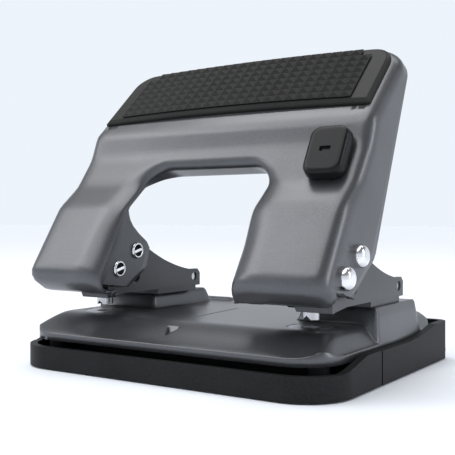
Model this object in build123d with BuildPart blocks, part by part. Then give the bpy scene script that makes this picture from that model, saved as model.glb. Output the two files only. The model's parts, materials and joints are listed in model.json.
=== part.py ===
"""Two-hole paper punch: millimetres, X to the right, Y to the back, Z up.

The origin is on the table under the middle of the base. The right-hand punch unit is
modelled once; the left one is its mirror image, with a second copy of the same bracket.
The handle turns about the two pivot barrels.
"""
import os
from math import cos, radians, sin

from build123d import *

# Overall sizes
hole_spacing = 80.0  # between the two punch axes
leg_width = 30.6  # one leg of the handle, across
base_margin = 3.1  # the tray stands out past the handle's sides
base_depth = 94.6
flat_height = 17.0  # top of the punching table
fit_gap = 0.05  # radial clearance of a turning or sliding fit
run_gap = 0.35  # clearance between pieces that pass each other

# Punches, dies and springs
punch_radius = 2.75
punch_setback = 25.8  # from the front of the base to the punch axis
punch_rest = 2.3  # punch tips above the table at rest
paper_margin = 12.6  # from the punch axis to the paper stop
cap_radius = 4.1
cap_thickness = 1.2
cap_gap = 0.15  # between the roller and the cap at rest
die_radius = 6.6
die_thickness = 1.6
spring_wire = 0.25
spring_turns = 5

# Pivot and pusher
pivot_setback = 10.3  # in front of the punch axis
pivot_rise = 15.3  # above the table
pusher_reach = 9.0  # behind the pivot
pusher_rise = 5.7  # above the pivot
pivot_radius = 2.5
pusher_radius = 2.0
roller_radius = 3.0
roller_length = 12.0
sleeve_wall = 1.0
head_radius = 3.4
head_height = 3.0
screw_head_radius = 2.7
screw_head_height = 0.8
screw_stud_radius = 1.2
screw_stud_length = 7.0

# Handle
shell_wall = 1.3
grip_slope = 43.2  # degrees from level
grip_length = 33.6
grip_bow = 2.0  # the long edges of the grip rise this much in the middle
loop_rise = 34.2  # from the pivot to the top of the finger opening
loop_tilt = 15.0
loop_corner = 9.0
panel_tilt = 57.4  # degrees from level, the legs' front
leg_round_width = 8.0  # big rounding on a leg's inner front edge, across and into the leg
leg_round_depth = 4.0
leg_round_low = 18.0  # up the panel from its lip: full rounding to here
leg_round_high = 36.0  # nearly gone here
leg_round_end = 3.0
leg_round_back = 1.1
leg_round_spare = 6.0
top_corner = 11.0
pad_thickness = 3.0
pad_recess = 1.0
pad_border = 3.2
pad_low = 1.4  # ends of the pad's edges, up the slope from the grip's foot
pad_high = 30.6
pad_groove = 0.5
pad_chamfer = 1.4

# Lock
lock_x = 44.5
lock_width = 13.0
lock_length = 17.0
lock_height = 3.0
lock_travel = 2.4
lock_lift = 1.5  # cap of the button above the panel's chord
stem_width = 5.0
lock_tilt = 61.0  # degrees from level

# Brackets and guides
bracket_wall = 1.6
nose_radius = 4.6
flange_width = 13.0
flange_wall = 1.4
flange_height = 3.6
flange_ahead = 2.0  # of the pivot
flange_below = 9.4
floor_short = 2.0  # of the tail end
floor_narrow = 1.0
rivet_radius = 1.6
rivet_head_radius = 2.8
rivet_head_height = 0.9
rivet_shares = (0.24, 0.58)  # of the raised block, from the paper stop back
tail_reach = 37.3  # from the punch axis to the end of the tail
tail_height = 6.1  # depth of the tail
block_height = 5.2  # raised rear blocks above the table
block_to_rear = 23.3  # from the blocks to the rear rim
block_foot = 3.0  # spread of the blocks at their foot
block_corner = 2.0
table_corner = 9.0  # of the flat table, seen from above
arrow_width = 6.0
arrow_side = 4.6
arrow_setback = 8.5
bracket_lift = 1.8  # side plates above the raised blocks
bracket_floor = 2.2
tail_pin_radius = 1.5
tail_pin_back = 3.6  # from the tail's end and from its lower edge
tail_pin_lift = 3.3
guide_width = 10.4
web_depth = 7.5
guide_height = 3.0
guide_floor = 0.6
throat = 5.8  # between the table and the guide

# Base plate and tray
plate_wall = 1.5
skirt_low_z = 9.2
skirt_top_z = 11.6
skirt_corner = 13.0
front_slope = 15.3  # level lengths of the slopes from the skirt up to the table
rear_slope = 6.0
side_slope = 4.6
block_inner = 12.0  # from the punch axis to the raised block's inner side
block_outer = 0.8  # from the handle's side to the raised block's outer side
rim_wall = 2.4
rim_low_z = 0.4
rim_front_z = 7.3
rim_side_z = 10.6
rim_rear_z = 13.3
rim_rear_corner = 5.0
rim_front_corner = 15.0
split_behind = 8.8  # from the punch axis back to the split in the rim
split_gap = 0.7
foot_radius = 5.5
foot_height = 1.0
foot_inset = 11.0  # from the posts
rear_foot = 14.0
floor_thickness = 1.0
bin_wall = 1.2
bin_height = 5.0
post_radius = 3.2
post_inset = 9.4
front_post_inset = 13.0
rear_post_inset = 27.0
shank_radius = 1.3
tray_screw_head = 2.4

# Places that follow from the sizes
unit_x = hole_spacing / 2
half_handle = unit_x + leg_width / 2
inner_leg_x = unit_x - leg_width / 2
half_width = half_handle + base_margin
base_front = -base_depth / 2
base_rear = base_depth / 2
punch_y = base_front + punch_setback
stop_y = punch_y + paper_margin
block_rear_y = base_rear - block_to_rear
rivet_ys = [stop_y + share * (block_rear_y - stop_y) for share in rivet_shares]
pivot_y = punch_y - pivot_setback
pivot_z = flat_height + pivot_rise
pusher_y = pivot_y + pusher_reach
pusher_z = pivot_z + pusher_rise
plate_out_x = half_handle - shell_wall - run_gap
plate_in_x = inner_leg_x + shell_wall + run_gap
guide_z = flat_height + throat
plate_low_z = flat_height + block_height + bracket_lift
flange_y = pivot_y - flange_ahead
flange_low_z = pivot_z - flange_below
cap_top_z = pusher_z - roller_radius - cap_gap
cap_low_z = cap_top_z - cap_thickness
spring_low_z = guide_z + guide_floor
split_y = punch_y + split_behind
skirt_x = half_width - rim_wall - run_gap
skirt_front = base_front + rim_wall + run_gap
skirt_rear = base_rear - rim_wall - run_gap
floor_z = foot_height
bin_z = floor_z + floor_thickness + run_gap
post_x = half_width - post_inset
bin_x = post_x - post_radius - run_gap
front_post_y = base_front + front_post_inset
rear_post_y = base_rear - rear_post_inset

os.makedirs("parts", exist_ok=True)
right_unit = {}
same_both_sides = ("bracket", "punch_guide", "bracket_rivets", "tail_pin", "pivot_sleeve")


def from_pivot(reach, rise):
    """A point of the side view, measured from the pivot axis."""
    return (pivot_y + reach, pivot_z + rise)


# ------------------------------------------------------------------ handle body
grip_low = from_pivot(23.8, 49.3)
grip_plane = Plane(
    origin=(0, *grip_low),
    x_dir=(1, 0, 0),
    z_dir=(0, -sin(radians(grip_slope)), cos(radians(grip_slope))),
)
grip_high = (
    grip_low[0] + grip_length * cos(radians(grip_slope)),
    grip_low[1] + grip_length * sin(radians(grip_slope)),
)
rear_high = (grip_high[0] + 2.9, grip_high[1] - 1.5)
rear_low = from_pivot(21.2, 4.8)
lip_low = from_pivot(-5.2, -8.0)
lip_front = from_pivot(-12.0, -0.8)
loop_plane = Plane(
    origin=(0, *from_pivot(14.0, loop_rise)),
    x_dir=(1, 0, 0),
    z_dir=(0, cos(radians(loop_tilt)), -sin(radians(loop_tilt))),
)
lock_plane = Plane(
    origin=(lock_x, *from_pivot(14.0, 34.4)),
    x_dir=(1, 0, 0),
    z_dir=(0, -sin(radians(lock_tilt)), cos(radians(lock_tilt))),
)


def grip_outline(depth, border, low, high):
    """A face in the grip's plane, at a depth, with bowed long edges and rounded corners."""
    half = half_handle - border
    with BuildSketch(grip_plane.offset(depth), mode=Mode.PRIVATE) as outline:
        with BuildLine():
            low_edge = ThreePointArc((-half, low), (0, low + grip_bow), (half, low))
            high_edge = ThreePointArc((half, high), (0, high + grip_bow), (-half, high))
            Line(low_edge @ 1, high_edge @ 0)
            Line(high_edge @ 1, low_edge @ 0)
        make_face()
        fillet(outline.vertices().group_by(Axis.Y)[-1], top_corner - border)
    return outline.sketch


def corner_section(height, wide, deep, back, inset):
    """Across a leg's inner front corner, what lies outside the big rounding at a height."""
    across = Plane(
        origin=(inner_leg_x, *lip_front),
        x_dir=(1, 0, 0),
        z_dir=(0, cos(radians(panel_tilt)), sin(radians(panel_tilt))),
    )
    with BuildSketch(across.offset(height), mode=Mode.PRIVATE) as section:
        with BuildLine():
            curve = EllipticalCenterArc(
                (wide, back + deep), wide - inset, deep - inset, start_angle=180, arc_size=90
            )
            Polyline(
                curve @ 1,
                (wide, -leg_round_spare),
                (-leg_round_spare, -leg_round_spare),
                (-leg_round_spare, back + deep),
                curve @ 0,
            )
        make_face()
    return section.sketch


def opening_back(inset):
    """Behind the finger opening's flange, which is narrow at the top of each leg."""
    with BuildPart(mode=Mode.PRIVATE) as back:
        with BuildSketch(Plane.YZ.offset(-inner_leg_x - inset)):
            with BuildLine():
                edge = Polyline(
                    from_pivot(25.4, loop_rise + 2.0),
                    from_pivot(25.4, 31.2),
                    from_pivot(17.2, 28.4),
                )
                curve = Spline(
                    edge @ 1,
                    from_pivot(12.9, 26.6),
                    from_pivot(6.2, 22.5),
                    from_pivot(4.9, 18.8),
                    from_pivot(7.7, 13.3),
                    from_pivot(12.9, 9.9),
                )
                Polyline(
                    curve @ 1,
                    from_pivot(16.0, 6.0),
                    from_pivot(14.0, -0.5),
                    from_pivot(4.5, -6.4),
                    from_pivot(4.5, -12.0),
                    from_pivot(60.0, -12.0),
                    from_pivot(60.0, loop_rise + 2.0),
                    edge @ 0,
                )
            make_face()
        extrude(amount=2 * (inner_leg_x + inset))
    return back.part


def leg_corner(inset):
    """What the big rounding takes off a leg; it fades out towards the grip."""
    with BuildPart(mode=Mode.PRIVATE) as corner:
        add(corner_section(leg_round_low, leg_round_width, leg_round_depth, 0.0, inset))
        add(corner_section(leg_round_high, leg_round_end, leg_round_end, leg_round_back, inset))
        loft()
        extrude(
            corner_section(-leg_round_low, leg_round_width, leg_round_depth, 0.0, inset),
            amount=2 * leg_round_low,
        )
    return corner.part


def handle_form(inset):
    """The handle's outer form at inset 0, or its hollow, open to the back, at an inset."""
    with BuildPart(mode=Mode.PRIVATE) as form:
        with BuildSketch(Plane.YZ.offset(-half_handle + inset)):
            with BuildLine():
                front = FilletPolyline(
                    lip_front,
                    from_pivot(1.6, 20.5),
                    from_pivot(10.3, 27.7),
                    from_pivot(17.6, 37.9),
                    from_pivot(20.6, 46.3),
                    grip_low,
                    grip_high,
                    radius=(7.0, 7.0, 10.0, 2.0, 2.0),
                )
                Polyline(
                    front @ 1,
                    rear_high,
                    rear_low,
                    from_pivot(4.5, -6.4),
                    from_pivot(0.0, -7.7),
                    lip_low,
                    from_pivot(-11.1, -4.1),
                    front @ 0,
                )
            make_face()
            if inset:
                offset(amount=-inset, mode=Mode.REPLACE)
                with BuildLine():
                    Polyline(
                        (grip_high[0] - 2.0, grip_high[1] - 4.0),
                        (rear_high[0] + 9.0, rear_high[1] - 4.0),
                        from_pivot(40.0, -20.0),
                        from_pivot(-4.0, -20.0),
                        from_pivot(-4.0, -4.0),
                        from_pivot(6.0, 12.0),
                        (grip_high[0] - 2.0, grip_high[1] - 4.0),
                    )
                make_face()
        extrude(amount=2 * (half_handle - inset))
        with BuildSketch(loop_plane.offset(-40)):
            with BuildLine():
                sides = FilletPolyline(
                    (inner_leg_x + inset, 100),
                    (inner_leg_x + inset, -inset),
                    (-inner_leg_x - inset, -inset),
                    (-inner_leg_x - inset, 100),
                    radius=loop_corner + inset,
                )
                Line(sides @ 1, sides @ 0)
            make_face()
        extrude(amount=100, mode=Mode.SUBTRACT)
        add(leg_corner(inset), mode=Mode.SUBTRACT)
        add(mirror(leg_corner(inset), about=Plane.YZ), mode=Mode.SUBTRACT)
        extrude(grip_outline(-60, inset, -150, grip_length - inset), amount=120, mode=Mode.INTERSECT)
    return form.part


with BuildPart() as handle_shell:
    add(handle_form(0))
    add(handle_form(shell_wall), mode=Mode.SUBTRACT)
    add(opening_back(shell_wall + run_gap / 2), mode=Mode.SUBTRACT)
    pocket = grip_outline(-pad_recess, pad_border - pad_groove, pad_low - pad_groove, pad_high + pad_groove)
    extrude(pocket, amount=10, mode=Mode.SUBTRACT)
    with BuildSketch(lock_plane.offset(-6)):
        with Locations((0, -lock_travel / 2)):
            SlotOverall(
                stem_width + 5.0 + lock_travel + 2 * run_gap, stem_width + 2 * run_gap, rotation=90
            )
    extrude(amount=12, mode=Mode.SUBTRACT)
    for place, bore in (((pivot_y, pivot_z), pivot_radius), ((pusher_y, pusher_z), pusher_radius)):
        with BuildSketch(Plane.YZ.offset(-half_handle - 1)):
            with Locations(place):
                Circle(bore)
        extrude(amount=2 * half_handle + 2, mode=Mode.SUBTRACT)
handle_shell.part.label = "handle_shell"
export_step(handle_shell.part, "parts/handle_shell.step")

with BuildPart() as grip_pad:
    extrude(grip_outline(-pad_recess, pad_border, pad_low, pad_high), amount=pad_thickness)
    chamfer(grip_pad.faces().sort_by(Axis((0, 0, 0), grip_plane.z_dir))[-1].edges(), pad_chamfer)
grip_pad.part.label = "grip_pad"
export_step(grip_pad.part, "parts/grip_pad.step")

with BuildPart() as lock_button:
    with BuildSketch(lock_plane.offset(lock_lift)):
        RectangleRounded(lock_width, lock_length, 3.0)
    extrude(amount=lock_height)
    fillet(lock_button.faces().sort_by(Axis((0, 0, 0), lock_plane.z_dir))[-1].edges(), 1.0)
    with BuildSketch(lock_plane.offset(-shell_wall - 2.6)):
        SlotOverall(stem_width + 5.0, stem_width, rotation=90)
    extrude(amount=shell_wall + 2.6 + lock_lift + 0.5)
lock_button.part.label = "lock_button"
export_step(lock_button.part, "parts/lock_button.step")

with BuildPart() as lock_slider:
    with BuildSketch(lock_plane.offset(-shell_wall - 3.8)):
        with Locations((0, -4.0)):
            Rectangle(11.0, 22.0)
    extrude(amount=1.2)
lock_slider.part.label = "lock_slider"
export_step(lock_slider.part, "parts/lock_slider.step")


def barrel(place, barrel_radius):
    """A barrel nut along X: domed head on the leg's outer side, threaded bore inside."""
    with BuildPart(mode=Mode.PRIVATE) as nut:
        with BuildSketch(Plane.YZ.offset(inner_leg_x)):
            with Locations(place):
                Circle(barrel_radius)
        extrude(amount=leg_width)
        with BuildSketch(Plane.YZ.offset(half_handle)):
            with Locations(place):
                Circle(head_radius)
        extrude(amount=head_height)
        fillet(nut.faces().sort_by(Axis.X)[-1].edges(), head_height * 0.7)
        with BuildSketch(Plane.YZ.offset(inner_leg_x)):
            with Locations(place):
                Circle(screw_stud_radius)
        extrude(amount=screw_stud_length, mode=Mode.SUBTRACT)
    return nut.part


def slotted_screw(place):
    """The screw that closes a barrel nut on the leg's inner side."""
    with BuildPart(mode=Mode.PRIVATE) as screw:
        with BuildSketch(Plane.YZ.offset(inner_leg_x - screw_head_height)):
            with Locations(place):
                Circle(screw_head_radius)
        extrude(amount=screw_head_height)
        with BuildSketch(Plane.YZ.offset(inner_leg_x)):
            with Locations(place):
                Circle(screw_stud_radius)
        extrude(amount=screw_stud_length)
        with BuildSketch(Plane.YZ.offset(inner_leg_x - screw_head_height)):
            with Locations(place):
                Rectangle(2 * screw_head_radius, 0.9)
        extrude(amount=0.5, mode=Mode.SUBTRACT)
    return screw.part


with BuildPart() as pivot_barrel:
    add(barrel((pivot_y, pivot_z), pivot_radius))
right_unit["pivot_barrel"] = pivot_barrel

with BuildPart() as pusher_barrel:
    add(barrel((pusher_y, pusher_z), pusher_radius))
right_unit["pusher_barrel"] = pusher_barrel

with BuildPart() as pivot_screw:
    add(slotted_screw((pivot_y, pivot_z)))
right_unit["pivot_screw"] = pivot_screw

with BuildPart() as pusher_screw:
    add(slotted_screw((pusher_y, pusher_z)))
right_unit["pusher_screw"] = pusher_screw

with BuildPart() as pusher_roller:
    with BuildSketch(Plane.YZ.offset(unit_x - roller_length / 2)):
        with Locations((pusher_y, pusher_z)):
            Circle(roller_radius)
            Circle(pusher_radius + fit_gap, mode=Mode.SUBTRACT)
    extrude(amount=roller_length)
right_unit["pusher_roller"] = pusher_roller

# ------------------------------------------------------------ brackets and guides
bracket_in_x = plate_in_x + bracket_wall
bracket_out_x = plate_out_x - bracket_wall
tail_end_y = punch_y + tail_reach
tail_top_z = plate_low_z + tail_height

with BuildPart() as bracket:
    with BuildSketch(Plane.YZ.offset(plate_in_x)):
        with BuildLine():
            top = Polyline(
                (tail_end_y, plate_low_z),
                (tail_end_y, tail_top_z - 1.5),
                (tail_end_y - 1.5, tail_top_z),
                (tail_end_y - 6.0, tail_top_z),
            )
            curve = ThreePointArc(top @ 1, from_pivot(26.0, 2.0), from_pivot(11.6, 9.6))
            Polyline(
                curve @ 1,
                from_pivot(6.3, 8.3),
                from_pivot(0.0, nose_radius),
                from_pivot(0.0, 0.0),
                (pivot_y, plate_low_z),
                top @ 0,
            )
        make_face()
        with Locations((pivot_y, pivot_z)):
            Circle(nose_radius)
    extrude(amount=plate_out_x - plate_in_x)
    with BuildSketch(Plane.YZ.offset(bracket_in_x)):
        with Locations((punch_y, pivot_z)):
            Rectangle(200, 60)
    extrude(amount=bracket_out_x - bracket_in_x, mode=Mode.SUBTRACT)
    with BuildSketch(Plane.YZ.offset(plate_in_x)):
        with BuildLine():
            Polyline(
                from_pivot(-nose_radius, -nose_radius),
                from_pivot(0.0, -nose_radius),
                from_pivot(10.0, -6.5),
                from_pivot(15.8, -9.0),
                from_pivot(-nose_radius, -9.0),
                from_pivot(-nose_radius, -nose_radius),
            )
        make_face()
    extrude(amount=bracket_wall, mode=Mode.SUBTRACT)
    with BuildSketch(Plane.XZ.offset(-flange_y)):
        with BuildLine():
            Polyline(
                (plate_out_x, flange_low_z),
                (plate_out_x - flange_width + 2.0, flange_low_z),
                (plate_out_x - flange_width, flange_low_z + flange_height),
                (plate_out_x, flange_low_z + flange_height),
                (plate_out_x, flange_low_z),
            )
        make_face()
    extrude(amount=flange_wall)
    with BuildSketch(Plane.YZ.offset(bracket_out_x)):
        with BuildLine():
            Polyline(
                (flange_y - flange_wall, flange_low_z),
                (flange_y - flange_wall, flange_low_z + flange_height),
                (flange_y + 8.0, flange_low_z + flange_height),
                (flange_y + 8.0, plate_low_z),
                (flange_y - flange_wall, flange_low_z),
            )
        make_face()
    extrude(amount=bracket_wall)
    floor_centre = (unit_x, (stop_y + run_gap + tail_end_y - floor_short) / 2)
    with BuildSketch(Plane.XY.offset(flat_height + block_height)):
        with Locations(floor_centre):
            Rectangle(plate_out_x - plate_in_x - floor_narrow, tail_end_y - floor_short - stop_y - run_gap)
    extrude(amount=bracket_floor)
    pusher_path = CenterArc(
        (pivot_y, pivot_z), (pusher_reach**2 + pusher_rise**2) ** 0.5, -16, 55, mode=Mode.PRIVATE
    )
    with BuildSketch(Plane.YZ.offset(plate_in_x - 1)):
        SlotArc(pusher_path, 2 * (pusher_radius + run_gap))
        with Locations((pivot_y, pivot_z)):
            Circle(pivot_radius + fit_gap)
        with Locations((tail_end_y - tail_pin_back, plate_low_z + tail_pin_lift)):
            Circle(tail_pin_radius)
    extrude(amount=plate_out_x - plate_in_x + 2, mode=Mode.SUBTRACT)
    with BuildSketch(Plane.XY.offset(flat_height)):
        with Locations(*[(unit_x, y) for y in rivet_ys]):
            Circle(rivet_radius)
    extrude(amount=20, mode=Mode.SUBTRACT)
right_unit["bracket"] = bracket

with BuildPart() as tail_pin:
    with BuildSketch(Plane.YZ.offset(plate_in_x + 0.5)):
        with Locations((tail_end_y - tail_pin_back, plate_low_z + tail_pin_lift)):
            Circle(tail_pin_radius)
    extrude(amount=plate_out_x - plate_in_x - 1.0)
right_unit["tail_pin"] = tail_pin

with BuildPart() as bracket_rivets:
    for place in [(unit_x, y) for y in rivet_ys]:
        with BuildSketch(Plane.XY.offset(flat_height + block_height - plate_wall)):
            with Locations(place):
                Circle(rivet_radius)
        extrude(amount=plate_wall + bracket_floor)
        with BuildSketch(Plane.XY.offset(flat_height + block_height + bracket_floor)):
            with Locations(place):
                Circle(rivet_head_radius)
        extrude(amount=rivet_head_height)
        with BuildSketch(Plane.XY.offset(flat_height + block_height - plate_wall - rivet_head_height)):
            with Locations(place):
                Circle(rivet_head_radius)
        extrude(amount=rivet_head_height)
right_unit["bracket_rivets"] = bracket_rivets

with BuildPart() as pivot_sleeve:
    with BuildSketch(Plane.YZ.offset(bracket_in_x)):
        with Locations((pivot_y, pivot_z)):
            Circle(pivot_radius + fit_gap + sleeve_wall)
            Circle(pivot_radius + fit_gap, mode=Mode.SUBTRACT)
    extrude(amount=bracket_out_x - bracket_in_x)
right_unit["pivot_sleeve"] = pivot_sleeve

with BuildPart() as punch_guide:
    with BuildSketch(Plane.XY.offset(plate_low_z)):
        with Locations((unit_x, punch_y + 1.5)):
            Rectangle(bracket_out_x - bracket_in_x, web_depth, align=(Align.CENTER, Align.MIN))
    extrude(amount=guide_z + guide_height - plate_low_z)
    with BuildSketch(Plane.XY.offset(guide_z)):
        with Locations((unit_x, punch_y)):
            Rectangle(guide_width, guide_width)
    extrude(amount=guide_height)
    chamfer(punch_guide.edges().group_by(Axis.Z)[0].filter_by(Axis.X).sort_by(Axis.Y)[0], 0.8)
    with Locations((unit_x, punch_y, guide_z)):
        Cylinder(
            punch_radius + fit_gap, 20, align=(Align.CENTER, Align.CENTER, Align.MIN), mode=Mode.SUBTRACT
        )
    with Locations((unit_x, punch_y, spring_low_z)):
        Cylinder(
            cap_radius + run_gap, 20, align=(Align.CENTER, Align.CENTER, Align.MIN), mode=Mode.SUBTRACT
        )
right_unit["punch_guide"] = punch_guide

# ------------------------------------------------------- punches, springs and dies
with BuildPart() as punch_pin:
    with BuildSketch(Plane.XY.offset(flat_height + punch_rest)):
        with Locations((unit_x, punch_y)):
            Circle(punch_radius)
    extrude(amount=cap_low_z - flat_height - punch_rest)
    with BuildSketch(Plane.XY.offset(cap_low_z)):
        with Locations((unit_x, punch_y)):
            Circle(punch_radius - 0.6)
    extrude(amount=cap_thickness - 0.4)
    with BuildSketch(Plane.XZ.offset(-punch_y - punch_radius)):
        with Locations((unit_x, flat_height + punch_rest)):
            RegularPolygon(1.3, 4)
    extrude(amount=2 * punch_radius, mode=Mode.SUBTRACT)
right_unit["punch_pin"] = punch_pin

with BuildPart() as punch_cap:
    with BuildSketch(Plane.XY.offset(cap_low_z)):
        with Locations((unit_x, punch_y)):
            Circle(cap_radius)
    extrude(amount=cap_thickness)
    with BuildSketch(Plane.XY.offset(cap_low_z)):
        with Locations((unit_x, punch_y)):
            Circle(punch_radius - 0.6)
    extrude(amount=cap_thickness - 0.4, mode=Mode.SUBTRACT)
right_unit["punch_cap"] = punch_cap

with BuildPart() as return_spring:
    spring_radius = punch_radius + 0.3 + spring_wire
    with BuildLine(Plane((unit_x, punch_y, spring_low_z + spring_wire + 0.02))):
        coil = Helix(
            pitch=(cap_low_z - spring_low_z - 2 * spring_wire - 0.04) / spring_turns,
            height=cap_low_z - spring_low_z - 2 * spring_wire - 0.04,
            radius=spring_radius,
        )
    with BuildSketch(Plane(origin=coil @ 0, z_dir=coil % 0)):
        Circle(spring_wire)
    sweep(is_frenet=True)
right_unit["return_spring"] = return_spring

with BuildPart() as die_ring:
    with BuildSketch(Plane.XY.offset(flat_height - die_thickness)):
        with Locations((unit_x, punch_y)):
            Circle(die_radius)
            Circle(punch_radius + fit_gap, mode=Mode.SUBTRACT)
    extrude(amount=die_thickness)
right_unit["die_ring"] = die_ring

for name, piece in right_unit.items():
    piece.part.label = f"{name}_right"
    export_step(piece.part, f"parts/{name}_right.step")
    with BuildPart() as left_piece:
        if name in same_both_sides:
            with Locations((-hole_spacing, 0, 0)):
                add(piece.part)
        else:
            mirror(piece.part, about=Plane.YZ)
    left_piece.part.label = f"{name}_left"
    export_step(left_piece.part, f"parts/{name}_left.step")


# --------------------------------------------------------------------- base plate
def base_form(drop):
    """The pressed form of the base plate; its underside is the same form, smaller and lower."""
    low_x = skirt_x - drop
    low_front = skirt_front + drop
    low_rear = skirt_rear - drop
    with BuildPart(mode=Mode.PRIVATE) as form:
        with BuildSketch(Plane.XY.offset(skirt_low_z - drop)):
            with Locations((0, (low_front + low_rear) / 2)):
                RectangleRounded(2 * low_x, low_rear - low_front, skirt_corner - drop)
        extrude(amount=skirt_top_z - skirt_low_z)
        with BuildSketch(Plane.XY.offset(skirt_top_z - drop)):
            with Locations((0, (low_front + low_rear) / 2)):
                RectangleRounded(2 * low_x, low_rear - low_front, skirt_corner - drop)
        with BuildSketch(Plane.XY.offset(flat_height - drop)):
            with Locations((0, (low_front + low_rear + front_slope - rear_slope) / 2)):
                RectangleRounded(
                    2 * (low_x - side_slope),
                    low_rear - low_front - front_slope - rear_slope,
                    table_corner - drop,
                )
        loft()
        for side in (-1, 1):
            block_in = unit_x - block_inner + drop
            block_out = half_handle - block_outer - drop
            block_front = stop_y + drop
            block_rear = block_rear_y - drop
            with BuildSketch(Plane.XY.offset(skirt_top_z - drop)):
                with Locations((side * (block_in + low_x) / 2, (block_front + block_rear + block_foot) / 2)):
                    RectangleRounded(low_x - block_in, block_rear - block_front + block_foot, block_corner)
            with BuildSketch(Plane.XY.offset(flat_height + block_height - drop)):
                with Locations((side * (block_in + block_out) / 2, (block_front + block_rear) / 2)):
                    RectangleRounded(block_out - block_in, block_rear - block_front, block_corner)
            loft()
    return form.part


with BuildPart() as base_plate:
    add(base_form(0))
    add(base_form(plate_wall), mode=Mode.SUBTRACT)
    with BuildSketch(Plane.XY.offset(skirt_low_z)):
        with Locations(*[(x, y) for x in (-post_x, post_x) for y in (front_post_y, rear_post_y)]):
            Circle(post_radius)
    extrude(until=Until.NEXT)
    for side in (-1, 1):
        with BuildSketch(Plane.XY.offset(0)):
            with Locations((side * unit_x, punch_y)):
                Circle(die_radius)
            with Locations(*[(side * unit_x, y) for y in rivet_ys]):
                Circle(rivet_radius)
        extrude(amount=40, mode=Mode.SUBTRACT)
        with BuildSketch(Plane.XY.offset(skirt_low_z)):
            with Locations(*[(side * post_x, y) for y in (front_post_y, rear_post_y)]):
                Circle(shank_radius)
        extrude(amount=3.0, mode=Mode.SUBTRACT)
    with BuildSketch(Plane.XY.offset(skirt_low_z)):
        with Locations((0, skirt_front + arrow_setback)):
            Triangle(a=arrow_width, b=arrow_side, c=arrow_side)
    extrude(amount=12, mode=Mode.SUBTRACT)
base_plate.part.label = "base_plate"
export_step(base_plate.part, "parts/base_plate.step")


# ------------------------------------------------------------- tray, bin and feet
def rim_form(inset, low_z, high_z):
    """A prism of the tray's outline in plan: large corners in front, small ones behind."""
    with BuildPart(mode=Mode.PRIVATE) as form:
        with BuildSketch(Plane.XY.offset(low_z)) as plan:
            Rectangle(2 * (half_width - inset), base_depth - 2 * inset)
            fillet(plan.vertices().group_by(Axis.Y)[0], rim_front_corner - inset)
            fillet(plan.vertices().group_by(Axis.Y)[-1], rim_rear_corner - inset)
        extrude(amount=high_z - low_z)
    return form.part


with BuildPart() as tray_body:
    add(rim_form(0, rim_low_z, rim_side_z))
    add(rim_form(rim_wall, 0, 40), mode=Mode.SUBTRACT)
    with BuildSketch(Plane.YZ.offset(-half_width - 1)):
        with BuildLine():
            Polyline(
                (base_front - 1, rim_front_z),
                (punch_y - 15.0, rim_front_z),
                (punch_y - 1.0, rim_side_z),
                (punch_y - 1.0, rim_side_z + 20),
                (base_front - 1, rim_side_z + 20),
                (base_front - 1, rim_front_z),
            )
        make_face()
    extrude(amount=2 * half_width + 2, mode=Mode.SUBTRACT)
    add(rim_form(rim_wall / 2, floor_z, floor_z + floor_thickness))
    with BuildSketch(Plane.XY):
        with Locations((0, split_y)):
            Rectangle(2 * half_width + 2, base_depth, align=(Align.CENTER, Align.MIN))
    extrude(amount=40, mode=Mode.SUBTRACT)
    add(rim_form(rim_wall + run_gap, floor_z, floor_z + floor_thickness))
    with BuildSketch(Plane.XY.offset(floor_z + floor_thickness)):
        with Locations(*[(x, y) for x in (-post_x, post_x) for y in (front_post_y, rear_post_y)]):
            Circle(post_radius)
    extrude(amount=skirt_low_z - floor_z - floor_thickness)
    with BuildSketch(Plane.XY):
        with Locations(*[(x, y) for x in (-post_x, post_x) for y in (front_post_y, rear_post_y)]):
            Circle(shank_radius)
    extrude(amount=20, mode=Mode.SUBTRACT)
tray_body.part.label = "tray_body"
export_step(tray_body.part, "parts/tray_body.step")

with BuildPart() as tray_screws:
    for place in [(x, y) for x in (-post_x, post_x) for y in (front_post_y, rear_post_y)]:
        with BuildSketch(Plane.XY.offset(floor_z - 0.8)):
            with Locations(place):
                Circle(tray_screw_head)
        extrude(amount=0.8)
        with BuildSketch(Plane.XY.offset(floor_z)):
            with Locations(place):
                Circle(shank_radius)
        extrude(amount=skirt_low_z + 2.6 - floor_z)
tray_screws.part.label = "tray_screws"
export_step(tray_screws.part, "parts/tray_screws.step")

foot_x = post_x - foot_inset
with BuildPart() as rubber_feet:
    with BuildSketch(Plane.XY):
        with Locations(*[(x, y) for x in (-foot_x, foot_x) for y in (front_post_y, base_rear - rear_foot)]):
            Circle(foot_radius)
    extrude(amount=foot_height)
rubber_feet.part.label = "rubber_feet"
export_step(rubber_feet.part, "parts/rubber_feet.step")

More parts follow.
